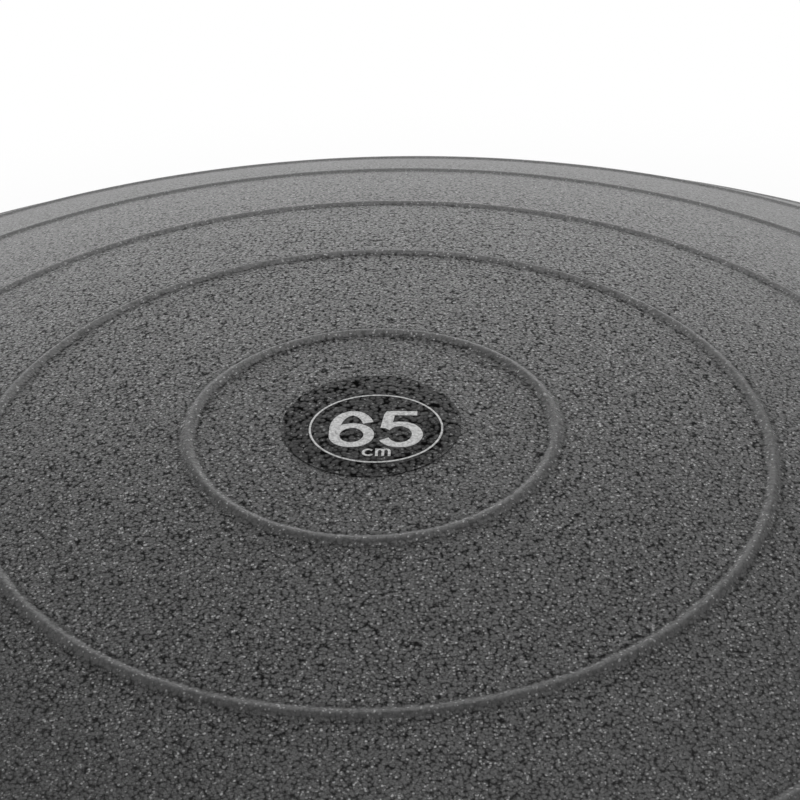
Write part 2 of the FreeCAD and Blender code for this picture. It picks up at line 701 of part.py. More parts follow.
def make_screw(name, length):
    """A pan-head screw, its head down and its seat at the origin, with a cross recess in the head."""
    crown = "(dims.head_height * 0.55)"
    tip = f"({length} - dims.screw_radius)"
    corners = [
        ("0", "-dims.head_height"),
        ("dims.head_radius * 0.6", "-dims.head_height"),
        ("dims.head_radius", f"-{crown}"),
        ("dims.head_radius", "0"),
        ("dims.screw_radius", "0"),
        ("dims.screw_radius", tip),
        ("dims.screw_radius / 4", length),
        ("0", length),
    ]
    body = turned_body(name, corners)
    arm, slot = "(dims.head_radius * 0.55)", "(dims.head_radius * 0.14)"
    cross = [
        (arm, f"-{slot}"), (arm, slot), (slot, slot), (slot, arm), (f"-{slot}", arm), (f"-{slot}", slot),
        (f"-{arm}", slot), (f"-{arm}", f"-{slot}"), (f"-{slot}", f"-{slot}"), (f"-{slot}", f"-{arm}"),
        (slot, f"-{arm}"), (slot, f"-{slot}"),
    ]
    sketch = body_sketch(body, name + "_recess_outline", "XY_Plane", cross)
    sketch.setExpression(".AttachmentOffset.Base.z", "-dims.head_height")
    recess = body.newObject("PartDesign::Pocket", name + "_recess")
    recess.Profile = sketch
    recess.Type = "Length"
    recess.Reversed = True
    recess.setExpression("Length", "dims.head_height * 0.6")
    doc.recompute()
    return body


def make_screws():
    long_screw = make_screw("long_screw", "dims.screw_length")
    short_screw = make_screw("short_screw", "dims.foot_screw_length")
    rim = [on_circle(SCREW_CIRCLE, k + 0.5, "dims.screw_count") for k in range(count("screw_count"))]
    middle = [
        on_circle("dims.deck_screw_circle", k, "dims.deck_screw_count")
        for k in range(count("deck_screw_count"))
    ]
    feet = [on_circle(FOOT_CIRCLE, k + 0.5, "dims.foot_count") for k in range(count("foot_count"))]
    return [
        copies("clamp_screws", long_screw, [(x, y, CLAMP_SEAT) for x, y, _ in rim]),
        copies("deck_screws", long_screw, [(x, y, DECK_SEAT) for x, y, _ in middle]),
        copies("foot_screws", short_screw, [(x, y, "dims.foot_seat") for x, y, _ in feet]),
    ]


# ---------------------------------------------------------------- the valve


def at_valve(thing):
    return place(thing, along="-dims.valve_circle")


def make_valve_body():
    """The flanged barrel that carries the air bore down through the deck into the well."""
    seat = f"({DECK_TOP} + dims.washer_height)"
    corners = [
        ("dims.valve_bore", BARREL_FOOT),
        ("dims.barrel_radius", BARREL_FOOT),
        ("dims.barrel_radius", seat),
        ("dims.valve_flange", seat),
        ("dims.valve_flange", f"{seat} + dims.flange_height"),
        ("dims.valve_bore", f"{seat} + dims.flange_height"),
    ]
    return at_valve(turned_body("valve_body", corners))


def make_valve_washer():
    inner = "(dims.barrel_radius + dims.screw_clearance)"
    corners = [
        (inner, DECK_TOP),
        ("dims.valve_flange - 1", DECK_TOP),
        ("dims.valve_flange - 1", f"{DECK_TOP} + dims.washer_height"),
        (inner, f"{DECK_TOP} + dims.washer_height"),
    ]
    return at_valve(turned_body("valve_washer", corners))


def make_valve_nut():
    """The hexagon nut that clamps the barrel to the deck, up inside the well."""
    body = new_body("valve_nut")
    corners = [
        (f"dims.nut_flats / sqrt(3) * cos({60 * k})", f"dims.nut_flats / sqrt(3) * sin({60 * k})")
        for k in range(6)
    ]
    sketch = body_sketch(body, "nut_outline", "XY_Plane", corners)
    low = f"({PAN_TOP} - dims.nut_height)"
    sketch.setExpression(".AttachmentOffset.Base.z", low)
    pad = body.newObject("PartDesign::Pad", "nut_pad")
    pad.Profile = sketch
    pad.setExpression("Length", "dims.nut_height")
    doc.recompute()
    bore = "(dims.barrel_radius + dims.screw_bite)"
    pocket_circles(body, "nut_bore", bore, [("0", "0")], low, PAN_TOP)
    return at_valve(body)


def make_valve_plug():
    """The push-in plug, with a pull tab under its head."""
    play = "dims.plug_play"
    under = f"({BARREL_FOOT} - {play})"
    radius = f"(dims.valve_bore - {play})"
    tip = f"({under} + dims.plug_length)"
    head_foot = f"({under} - dims.plug_head_height)"
    corners = [
        ("0", head_foot),
        ("dims.plug_head - 1", head_foot),
        ("dims.plug_head", f"{head_foot} + 1"),
        ("dims.plug_head", under),
        (radius, under),
        (radius, f"{tip} - {radius}"),
        (f"{radius} / 2", tip),
        ("0", tip),
    ]
    body = turned_body("valve_plug", corners)
    half, thick = "(dims.tab_width / 2)", "(dims.tab_thickness / 2)"
    outline = [(f"-{half}", f"-{thick}"), (half, f"-{thick}"), (half, thick), (f"-{half}", thick)]
    sketch = body_sketch(body, "tab_outline", "XY_Plane", outline)
    sketch.setExpression(".AttachmentOffset.Base.z", f"{head_foot} - dims.tab_height")
    tab = body.newObject("PartDesign::Pad", "pull_tab")
    tab.Profile = sketch
    tab.setExpression("Length", "dims.tab_height + dims.plug_head_height / 2")
    doc.recompute()
    return at_valve(body)


# ---------------------------------------------------------------- build, check and write


def build():
    """Every sub-part, in the order in which it comes off the bench."""
    return [
        make_dome_shell(),
        make_size_patch(),
        make_clamp_ring(),
        make_rim_seal(),
        make_deck_plate(),
        make_base_pan(),
        make_stiffening_grid(),
        make_grip("grip_right", 1),
        make_grip("grip_left", -1),
        *make_feet(),
        *make_screws(),
        make_valve_body(),
        make_valve_washer(),
        make_valve_nut(),
        make_valve_plug(),
    ]


def check(parts):
    """Stops if an object failed, or if a sub-part is missing or not a valid solid."""
    failed = [thing.Name for thing in doc.Objects if {"Invalid", "Error"} & set(thing.State)]
    if failed:
        raise RuntimeError(f"these objects failed: {failed}")
    for thing in parts:
        if thing.Shape.isNull() or not thing.Shape.isValid() or not thing.Shape.Solids:
            raise RuntimeError(f"{thing.Label} has no valid solid")


def write(parts):
    os.makedirs("parts", exist_ok=True)
    for thing in parts:
        thing.Shape.exportStep(f"parts/{thing.Label}.step")
        size = thing.Shape.BoundBox
        print(
            f"{thing.Label:14s} {len(thing.Shape.Solids):3d} solids {thing.Shape.Volume / 1000:9.2f} cm3"
            f"  z {size.ZMin:6.2f} to {size.ZMax:6.2f}  across {size.XLength:6.1f}"
        )


sub_parts = build()
doc.recompute()
check(sub_parts)
write(sub_parts)
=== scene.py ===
# %% [markdown]
# # Balance dome trainer
# A black rubber dome full of air sits on a round platform. People kneel, stand and train on it, so its skin
# is pebbled for grip and carries raised ribs in rings round the crown. This lesson builds its looks in
# Blender round a frame that already holds every part at its real size and place, in metres, with +Z up.

import bpy
import numpy as np
from mathutils import Matrix, Vector


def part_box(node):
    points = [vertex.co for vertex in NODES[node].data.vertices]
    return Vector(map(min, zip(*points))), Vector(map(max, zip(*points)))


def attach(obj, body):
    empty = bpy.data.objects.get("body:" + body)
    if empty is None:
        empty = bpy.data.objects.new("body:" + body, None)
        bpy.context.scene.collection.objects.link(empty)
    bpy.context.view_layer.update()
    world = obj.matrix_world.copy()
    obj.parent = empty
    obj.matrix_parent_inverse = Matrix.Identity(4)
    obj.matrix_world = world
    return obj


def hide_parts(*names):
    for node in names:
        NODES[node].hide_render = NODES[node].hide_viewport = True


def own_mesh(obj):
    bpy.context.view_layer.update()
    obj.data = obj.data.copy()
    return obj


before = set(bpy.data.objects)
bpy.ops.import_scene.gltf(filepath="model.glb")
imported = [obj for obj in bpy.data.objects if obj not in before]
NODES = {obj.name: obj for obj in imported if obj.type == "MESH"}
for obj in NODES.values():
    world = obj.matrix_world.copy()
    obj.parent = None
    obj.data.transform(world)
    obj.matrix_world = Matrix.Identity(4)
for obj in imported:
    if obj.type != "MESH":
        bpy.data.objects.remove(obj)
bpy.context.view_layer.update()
MM = 0.001

# %% [markdown]
# The sizes that the new pieces need are read off the frame's own parts, so they always agree with it: the
# dome's crown, the platform's edge, the clamp ring's levels. Only the sizes that belong to looks are set
# here.

# %% Sizes taken from the frame
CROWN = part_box("dome_shell")[1].z
DECK_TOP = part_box("deck_plate")[1].z
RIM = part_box("clamp_ring")[1].x
BALL = 325 * MM
CENTRE = CROWN - BALL
WALL = 3 * MM
RIB_ANGLES = np.radians([4.77, 10.41, 15.52, 21.3, 26.8, 32.3, 37.8, 43.3, 48.8])
RIB_WIDTH = 2.5 * MM
RIB_HEIGHT = 0.5 * MM
HEEL = 6.4 * MM
BEAD_OFFSET = 5.6 * MM
BEAD_RADIUS = 3.5 * MM
print(f"crown {CROWN:.3f}  deck {DECK_TOP:.3f}  rim {RIM:.3f}")

# %% [markdown]
# Nearly every part here is round, so one helper does most of the work. It takes a profile, which is a line
# of (radius, height) points, and carries it round the upright axis. Blender's Spin or Screw could do this
# too. Whole arrays are chosen because they close the seam and the poles exactly and leave nothing to merge
# afterwards.

# %% Meshes from arrays


def new_piece(name, places, faces, smooth=True):
    """A mesh object from an array of places and an array of quads and triangles (a triangle repeats its
    last)."""
    mesh = bpy.data.meshes.new(name)
    faces = [f[:3] if f[2] == f[3] else f for f in np.asarray(faces).tolist()]
    mesh.from_pydata(np.asarray(places, float).tolist(), [], faces)
    mesh.polygons.foreach_set("use_smooth", np.full(len(mesh.polygons), smooth))
    mesh.update()
    piece = bpy.data.objects.new(name, mesh)
    bpy.context.scene.collection.objects.link(piece)
    print(f"{name}: {len(mesh.vertices)} points, {len(mesh.polygons)} faces")
    return piece


def quads(rows, columns, wrap_rows, wrap_columns):
    """Faces of a grid of rows by columns: each joins a point to the next along its row and the next row."""
    r = np.arange(rows if wrap_rows else rows - 1)[:, None]
    c = np.arange(columns if wrap_columns else columns - 1)[None, :]
    r_next, c_next = (r + 1) % rows, (c + 1) % columns
    corners = [r * columns + c, r * columns + c_next, r_next * columns + c_next, r_next * columns + c]
    return np.stack([k + 0 * (r + c) for k in corners], -1).reshape(-1, 4)


def turned(name, profile, steps, centre=(0, 0), closed=True, smooth=True):
    """A profile carried round Z: place = (radius cos t, radius sin t, height), t from 0 to a full turn.

    A closed profile runs anticlockwise in (radius, height). An open one starts and ends on the axis, where
    one point closes each pole, and runs from the lower pole outwards and up to the upper one.
    """
    profile = np.asarray(profile, float)
    ring = profile if closed else profile[1:-1]
    t = np.linspace(0, 2 * np.pi, steps, endpoint=False)
    turn = np.stack([np.cos(t), np.sin(t)], -1)
    flat = ring[:, None, :1] * turn[None] + np.asarray(centre)
    up = np.broadcast_to(ring[:, None, 1:], flat.shape[:2] + (1,))
    places = np.concatenate([flat, up], -1).reshape(-1, 3)
    faces = quads(len(ring), steps, closed, True)
    if not closed:
        poles = [[*centre, profile[0, 1]], [*centre, profile[-1, 1]]]
        k = np.arange(steps)
        k_next = (k + 1) % steps
        low, high, top = len(places), len(places) + 1, (len(ring) - 1) * steps
        faces = np.concatenate([
            faces,
            np.stack([k_next, k, 0 * k + low, 0 * k + low], -1),
            np.stack([top + k, top + k_next, 0 * k + high, 0 * k + high], -1),
        ])
        places = np.concatenate([places, poles])
    return new_piece(name, places, faces, smooth)


def rounded(points, radii, steps=5):
    """A closed outline with each corner rounded: a quadratic curve from a radius before the corner to one
    after."""
    points = np.asarray(points, float)
    before, after = np.roll(points, 1, 0), np.roll(points, -1, 0)
    t = np.linspace(0, 1, steps)[:, None]
    out = []
    for p, b, a, r in zip(points, before, after, np.broadcast_to(radii, len(points)), strict=True):
        start = p + (b - p) * min(r / np.linalg.norm(b - p), 0.5)
        end = p + (a - p) * min(r / np.linalg.norm(a - p), 0.5)
        out.append((1 - t) ** 2 * start + 2 * t * (1 - t) * p + t**2 * end if r else p[None])
    return np.concatenate(out)


# %% [markdown]
# Materials are node graphs, and long ones turn to knots when each node is wired by hand. So a small class
# wraps a socket and lets Python's own operators add the Math nodes: `1 - mask` is a Subtract node. Every
# other kind of node comes from one method, which takes the node's type, its settings and what goes into its
# sockets.

# %% Shader maths


class Wire:
    """A float socket in a node tree. Arithmetic on it adds Math nodes and gives a new Wire."""

    def __init__(self, finish, socket):
        self.finish, self.socket = finish, socket

    def maths(self, operation, *others):
        values = {0: self, **{k + 1: v for k, v in enumerate(others)}}
        return self.finish.node("Math", {"operation": operation}, values)

    def __add__(self, other):
        return self.maths("ADD", other)

    def __sub__(self, other):
        return self.maths("SUBTRACT", other)

    def __rsub__(self, other):
        return self.finish.node("Math", {"operation": "SUBTRACT"}, {0: other, 1: self})

    def __mul__(self, other):
        return self.maths("MULTIPLY", other)

    def __pow__(self, other):
        return self.maths("POWER", other)

    __radd__, __rmul__ = __add__, __mul__

    def between(self, low, high):
        """0 below low, 1 above high, and a smooth step from one to the other."""
        settings = {"interpolation_type": "SMOOTHSTEP"}
        return self.finish.node("MapRange", settings, {0: self, 1: low, 2: high, 3: 0.0, 4: 1.0})


class Finish:
    """A material under construction. Constants go on the shader's own sockets."""

    def __init__(self, name, **constants):
        self.material = bpy.data.materials.new(name)
        self.material.use_nodes = True
        self.tree = self.material.node_tree
        self.shader = self.tree.nodes["Principled BSDF"]
        for socket, value in constants.items():
            self.shader.inputs[socket.replace("_", " ")].default_value = value

    def node(self, kind, settings=None, values=None, out=0):
        """Adds a node: its settings first, then its sockets' values or links. Gives one of its outputs."""
        made = self.tree.nodes.new("ShaderNode" + kind)
        for key, value in (settings or {}).items():
            setattr(made, key, value)
        for key, value in (values or {}).items():
            socket = made.inputs[key]
            if isinstance(value, Wire):
                self.tree.links.new(value.socket, socket)
            else:
                socket.default_value = value
        return Wire(self, made.outputs[out])

    def here(self):
        """The point being shaded, in the piece's own coordinates, in metres."""
        return self.node("TexCoord", out="Object")

    def noise(self, size, detail=2.0, roughness=0.5, at=None):
        """Soft noise whose lumps are about this many metres across, from 0 to 1."""
        values = {"Vector": at or self.here(), "Scale": 1 / size, "Detail": detail, "Roughness": roughness}
        return self.node("TexNoise", None, values, out="Fac")

    def cells(self, size, out="Distance", at=None):
        """Distances, or a colour for each cell, in a pattern of cells about this many metres across."""
        return self.node("TexVoronoi", None, {"Vector": at or self.here(), "Scale": 1 / size}, out=out)

    def mixed(self, mask, low, high):
        """A colour from low to high as mask goes from 0 to 1."""
        values = {0: mask, 6: self.colour(low), 7: self.colour(high)}
        return self.node("Mix", {"data_type": "RGBA"}, values, out=2)

    @staticmethod
    def colour(value):
        return value if isinstance(value, Wire) else (*np.broadcast_to(value, 3), 1)

    def feed(self, socket, wire):
        """Links a varying value to one of the shader's sockets."""
        self.tree.links.new(wire.socket, self.shader.inputs[socket])

    def paint_shade(self, mask, shade=0.004):
        """Mixes the shader towards a dark matt one by the mask: painted shade, for the light that deep
        creases and hollows would not give back.
        """
        dark = self.node("BsdfDiffuse", None, {"Color": self.colour(shade)})
        values = {0: mask, 1: Wire(self, self.shader.outputs[0]), 2: dark}
        mixed = self.node("MixShader", None, values)
        self.tree.links.new(mixed.socket, self.tree.nodes["Material Output"].inputs["Surface"])

    def bump(self, height, depth):
        """Turns a height from 0 to 1 into a relief of this depth in metres."""
        return self.node("Bump", None, {"Strength": 1.0, "Distance": depth, "Height": height})


def wear(piece, finish):
    """Gives a new piece its material, in place of any it had."""
    piece.data.materials.clear()
    piece.data.materials.append(finish.material)


def repaint(names, finish):
    """Gives parts of the frame a better material in their own slots."""
    for name in names:
        for holder in NODES[name].material_slots:
            holder.material = finish.material


# %% [markdown]
# The camera comes before the pieces, so that each can be judged as soon as it is made. It looks down at the
# crown from a hand's height, close up through a long lens, so the platform lies below the picture's edge
# and the far side of the dome makes the horizon. Its place is set by the distance and the height angle from
# the crown.

# %% Camera
VIEW_DISTANCE = 1.16426 * BALL
VIEW_ANGLE = np.radians(34.05)
SENSOR_WIDTH, FOCAL_LENGTH = 36, 116.3718
YAW, PITCH, ROLL = -0.01144, 0.00869, 0.03767


def turned_about(axis, angle, v):
    """A vector turned about a unit axis: its part along the axis stays, and the rest turns."""
    return v * np.cos(angle) + np.cross(axis, v) * np.sin(angle) + axis * (axis @ v) * (1 - np.cos(angle))


def add_camera():
    away = np.array([0, -np.cos(VIEW_ANGLE), np.sin(VIEW_ANGLE)])
    ahead = -away
    right = np.array([1.0, 0, 0])
    up = np.cross(right, ahead)
    ahead, right = turned_about(up, YAW, ahead), turned_about(up, YAW, right)
    ahead, up = turned_about(right, PITCH, ahead), turned_about(right, PITCH, up)
    right, up = turned_about(ahead, ROLL, right), turned_about(ahead, ROLL, up)
    data = bpy.data.cameras.new("camera")
    data.sensor_width, data.lens = SENSOR_WIDTH, FOCAL_LENGTH
    data.clip_start = 0.01
    camera = bpy.data.objects.new("camera", data)
    place = away * VIEW_DISTANCE + np.array([0, 0, CROWN])
    turn = np.stack([right, up, -ahead], 1)
    camera.matrix_world = Matrix([[*row, p] for row, p in zip(turn, place)] + [[0, 0, 0, 1]])
    bpy.context.scene.collection.objects.link(camera)
    bpy.context.scene.camera = camera
    print("camera at", np.round(place, 3), "lens", round(data.lens, 1))


add_camera()

# %% [markdown]
# The dome is a rubber cap about 3 mm thick, moulded in one piece with its ribs, a flat flange and a round
# bead that the clamp ring grips. It could start as a sphere with its lower half cut off. A profile is
# better, because each rib is then a smooth bump on the arc, and the wall, flange and bead close into one
# solid.

# %% The dome's skin


def spaced(stops, step):
    """Values through the stops, evenly spaced between neighbours and no further apart than step."""
    pieces = [np.linspace(a, b, max(int(np.ceil((b - a) / step)), 1), endpoint=False)
              for a, b in zip(stops[:-1], stops[1:])]
    return np.concatenate(pieces + [[stops[-1]]])


def dome_profile():
    """The closed outline: out over the crown with each rib as ball radius + height * cos^2, then flange and
    bead."""
    half = RIB_WIDTH / 2 / BALL
    foot_angle = np.arccos((DECK_TOP + WALL - CENTRE) / BALL)
    edges = np.sort(np.concatenate([[0], RIB_ANGLES - half, RIB_ANGLES + half, [foot_angle]]))
    angles = []
    for a, b in zip(edges[:-1], edges[1:]):
        is_rib = b - a < 2.1 * half
        angles.append(np.linspace(a, b, 11 if is_rib else 9, endpoint=False))
    angles = np.append(np.concatenate(angles), foot_angle)
    off = np.abs(angles[:, None] - RIB_ANGLES).min(1) / half
    radius = BALL + RIB_HEIGHT * np.where(off < 1, np.cos(off * np.pi / 2) ** 2, 0)
    outer = np.stack([radius * np.sin(angles), CENTRE + radius * np.cos(angles)], -1)
    foot = outer[-1, 0]
    bead = np.array([foot + BEAD_OFFSET, DECK_TOP + WALL / 2])
    opening = np.arcsin(WALL / 2 / BEAD_RADIUS)
    t = np.linspace(np.pi - opening, -np.pi + opening, 17)
    bead = bead + BEAD_RADIUS * np.stack([np.cos(t), np.sin(t)], -1)
    heel = foot - HEEL
    inner_radius = BALL - WALL
    inner_foot = np.arccos((DECK_TOP + WALL - CENTRE) / inner_radius)
    inner_angles = np.linspace(inner_foot, 0, 40)
    inner = np.stack([inner_radius * np.sin(inner_angles), CENTRE + inner_radius * np.cos(inner_angles)], -1)
    flange = np.array([[heel, DECK_TOP], [heel, DECK_TOP + WALL]])
    return np.concatenate([outer, bead, flange, inner])[::-1]


dome = turned("dome_skin", dome_profile(), 400, closed=False)

# %% [markdown]
# At the crown the mould leaves a small round patch with a coarser grain than the skin round it, darker
# because its colour is set lower and painted shade lies over it, heaviest in its creases. It is a thin lens
# that stands a tenth of a millimetre clear of the skin at its edge, so it never cuts the skin when the crown
# is pressed. The size is printed on it in pale ink: two numerals and a unit inside an oval line.

# %% The patch on the crown
MARK_AT = np.array([0.66, -1.5]) * MM
MARK_TURN = np.radians(-3.6)
PATCH = 13.2 * MM
PATCH_HEIGHT = 0.22 * MM
PATCH_EDGE = 0.11 * MM
PATCH_FLAT = 0.62


def on_ball(across, along, above=0.0):
    """Points over the crown, lifted from the ball: height = centre + sqrt(radius^2 - across^2 - along^2) +
    lift."""
    return np.stack([across, along, CENTRE + np.sqrt(BALL**2 - across**2 - along**2) + above], -1)


def patch_lift(r):
    """The patch's height over the ball: even in the middle, with a smooth fall over its outer two fifths."""
    t = np.clip((r / PATCH - PATCH_FLAT) / (1 - PATCH_FLAT), 0, 1)
    return PATCH_EDGE + PATCH_HEIGHT * (1 - t * t * (3 - 2 * t))


def patch_profile():
    """A thin lens: its top is the ball plus the patch's lift, its underside the ball as flat as the press
    makes it."""
    r = PATCH * np.sin(np.linspace(0, np.pi / 2, 28))
    ball = CENTRE + np.sqrt(BALL**2 - r**2)
    top = ball + patch_lift(r)
    under = ball + 0.02 * MM + 0.085 * MM * (r / PATCH) ** 2
    return np.concatenate([np.stack([r, under], -1), np.stack([r, top], -1)[::-1]])


patch = turned("crown_patch", patch_profile(), 128, closed=False)

# %% [markdown]
# The numerals are strokes: a centre line for each, and a width that is larger where the stroke runs
# upright, as a sign writer's brush makes it. Blender's Text object could write them, but strokes worked out
# here belong to no typeface. Each stroke is a raised ribbon of ink with rounded edges, laid over the ball's
# curve.

# %% The printed size


def arc(centre, radii, start, end, steps=40):
    """Points on an ellipse from one angle to another, in degrees: centre + (a cos t, b sin t)."""
    t = np.radians(np.linspace(start, end, steps))
    return np.array(centre) + np.stack([radii[0] * np.cos(t), radii[1] * np.sin(t)], -1)


def line(*points, steps=8):
    """Points along straight runs."""
    points = np.asarray(points, float)
    t = np.linspace(0, 1, steps)[:, None]
    runs = [a + (b - a) * t for a, b in zip(points[:-1], points[1:])]
    return np.concatenate([runs[0]] + [r[1:] for r in runs[1:]])


def ribbon(path, thin, thick, level, closed=False):
    """Places and faces of one stroke: a flat ribbon with bevelled edges across each point of its path.

    Half-width = thin + (thick - thin) * |upright share of the direction|, and the section is a low trapezium.
    """
    ahead = np.gradient(path, axis=0) if not closed else np.roll(path, -1, 0) - np.roll(path, 1, 0)
    ahead /= np.linalg.norm(ahead, axis=1)[:, None]
    side = np.stack([-ahead[:, 1], ahead[:, 0]], -1)
    half = thin + (thick - thin) * np.abs(ahead[:, 1])
    share = np.array([-1, -0.93, 0.93, 1])
    height = np.array([0, 1, 1, 0]) * INK * MM
    flat = path[:, None] + side[:, None] * (half[:, None] * share)[..., None]
    turn = np.array([[np.cos(MARK_TURN), np.sin(MARK_TURN)], [-np.sin(MARK_TURN), np.cos(MARK_TURN)]])
    flat = flat @ turn * MM + MARK_AT
    lens = patch_lift(np.linalg.norm(flat, axis=-1))
    places = on_ball(flat[..., 0], flat[..., 1], lens + height - 0.01 * MM + level * MM)
    faces = quads(len(path), len(share), closed, True)[:, ::-1]
    if not closed:
        last = (len(path) - 1) * len(share)
        faces = np.concatenate([faces, [[0, 1, 2, 3], [last + 3, last + 2, last + 1, last]]])
    return places.reshape(-1, 3), faces


def strokes_piece(name, strokes):
    """One piece from several ribbons, each 3 micrometres above the last so that no two faces lie in one
    place."""
    places, faces, first = [], [], 0
    for k, (path, thin, thick, closed) in enumerate(strokes):
        p, f = ribbon(path, thin, thick, 0.003 * k, closed)
        places.append(p)
        faces.append(f + first)
        first += len(p)
    return new_piece(name, np.concatenate(places), np.concatenate(faces), smooth=False)


THIN, THICK = 0.56, 0.8
FINE = (0.15, 0.2)
INK = 0.05
SIX_AT, FIVE_AT = np.array([-3.5, -0.36]), np.array([3.68, -0.36])
SIX = np.concatenate([
    arc(SIX_AT, (2.52, 4.0), 22, 180, 50),
    line(SIX_AT + [-2.52, 0], SIX_AT + [-2.52, -1.6], steps=6)[1:],
    arc(SIX_AT + [0, -1.6], (2.52, 2.4), 180, 540, 80)[1:],
])
FIVE = np.concatenate([
    line(FIVE_AT + [2.25, 4.05], FIVE_AT + [-1.75, 4.05], steps=10),
    line(FIVE_AT + [-1.75, 4.05], FIVE_AT + [-2.25, 0.1], steps=10)[1:],
])
FIVE_BOWL = arc(FIVE_AT + [-0.15, -1.4], (2.55, 2.65), 146, -152, 70)
UNIT_AT = np.array([0.18, -6.3])
UNIT_C = arc(UNIT_AT + [-1.05, 0], (0.72, 0.72), 40, 320, 30)
UNIT_M = [line(UNIT_AT + [0.15, -0.88], UNIT_AT + [0.15, 0.92])]
for k in (0, 1):
    arch = UNIT_AT + [0.61 + 0.92 * k, 0.24]
    stem = line(arch + [0.46, -0.1], arch + [0.46, -1.12])
    UNIT_M.append(np.concatenate([arc(arch, (0.46, 0.5), 180, 0, 16), stem]))
OVAL = arc((0, 0), (9.66, 8.55), 0, 360, 161)[:-1]
numerals = strokes_piece("size_numerals", [
    (SIX, THIN, THICK, False), (FIVE, THIN, THICK, False), (FIVE_BOWL, THIN, THICK, False),
    (UNIT_C, *FINE, False), *[(m, *FINE, False) for m in UNIT_M],
])
oval = strokes_piece("size_oval", [(OVAL, 0.13, 0.15, True)])

# %% [markdown]
# The clamp ring is a moulded plastic ring that sits over the dome's bead. Screws from below pull it down.
# Its profile is an outline with rounded corners, as a moulding has, and a shallow groove runs round its
# shoulder where the two halves of its mould met.

# %% The clamp ring


def ring_profile():
    """The ring's section: skirt, outer wall, rounded top with a parting groove, inner lip, and its bead
    groove."""
    low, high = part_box("clamp_ring")[0].z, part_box("clamp_ring")[1].z
    inner = np.sqrt(BALL**2 - (high - CENTRE) ** 2) + 0.9 * MM
    foot = np.sqrt(BALL**2 - (DECK_TOP + WALL - CENTRE) ** 2)
    t = np.linspace(0, 1, 24)[:, None]
    shoulder = np.array([RIM, high - 13.5 * MM])
    corner = np.array([RIM + 0.2 * MM, high])
    top = np.array([inner + 3.5 * MM, high])
    crest = (1 - t) ** 2 * shoulder + 2 * t * (1 - t) * corner + t**2 * top
    groove = np.array([
        [RIM, DECK_TOP + 1.6 * MM], [RIM - 0.5 * MM, DECK_TOP + 1.0 * MM], [RIM, DECK_TOP + 0.4 * MM],
    ])
    outer = rounded([
        [RIM - 3 * MM, DECK_TOP], [RIM - 3 * MM, low], [RIM, low], *groove[::-1], *crest[[0]],
    ], [0, 0.5 * MM, 0.8 * MM, 0.1 * MM, 0.1 * MM, 0.1 * MM, 0], 4)
    chin = [foot + 0.4 * MM, DECK_TOP + WALL + 0.1 * MM]
    lip = rounded([top, [inner, high - 1.2 * MM], chin], [0, 0.8 * MM, 0], 4)
    bead = np.array([foot + BEAD_OFFSET, DECK_TOP + WALL / 2])
    t = np.radians(np.linspace(152, -25, 14))
    seat = bead + 3.6 * MM * np.stack([np.cos(t), np.sin(t)], -1)
    return np.concatenate([outer, crest[1:-1], lip, seat])


ring = turned("clamp_ring_cover", ring_profile(), 288)

# %% [markdown]
# Eight rubber feet keep the platform off the floor and stop it sliding. A real foot is a puck with a
# rounded edge, two round tread grooves underneath and a pocket for its screw. The frame says where each
# stands.

# %% The feet


def foot_profile(low, high):
    """A puck's section, rounded at its edge, with two shallow round tread grooves in its sole and a screw
    pocket."""
    radius, pocket, hole = 18 * MM, 4.1 * MM, 2.3 * MM
    seat = low + 4 * MM
    tread = []
    for middle in (8.5 * MM, 12.5 * MM):
        tread += [[middle - 0.9 * MM, low], [middle - 0.6 * MM, low + 0.8 * MM],
                  [middle + 0.6 * MM, low + 0.8 * MM], [middle + 0.9 * MM, low]]
    edge, bore = [[radius, low], [radius, high]], [[hole, high], [hole, seat]]
    corners = [[pocket, seat], [pocket, low], *tread, *edge, *bore]
    return rounded(corners, [0.2 * MM, 0.5 * MM] + [0.15 * MM] * 8 + [2.5 * MM, 0.6 * MM, 0, 0.1 * MM], 5)


feet = []
for name in sorted(n for n in NODES if n.startswith("foot_") and n != "foot_screws"):
    low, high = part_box(name)
    middle = ((low.x + high.x) / 2, (low.y + high.y) / 2)
    foot = turned(name + "_rubber", foot_profile(low.z, high.z), 72, middle)
    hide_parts(name)
    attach(foot, "platform")
    feet.append(foot)

# %% [markdown]
# Each handhold has a soft rubber grip under its bar, with low waves for the fingers. It is an L-shaped
# strip. Its section is carried along the bar, and the side that the fingers meet swells and falls with a
# cosine.

# %% The grips


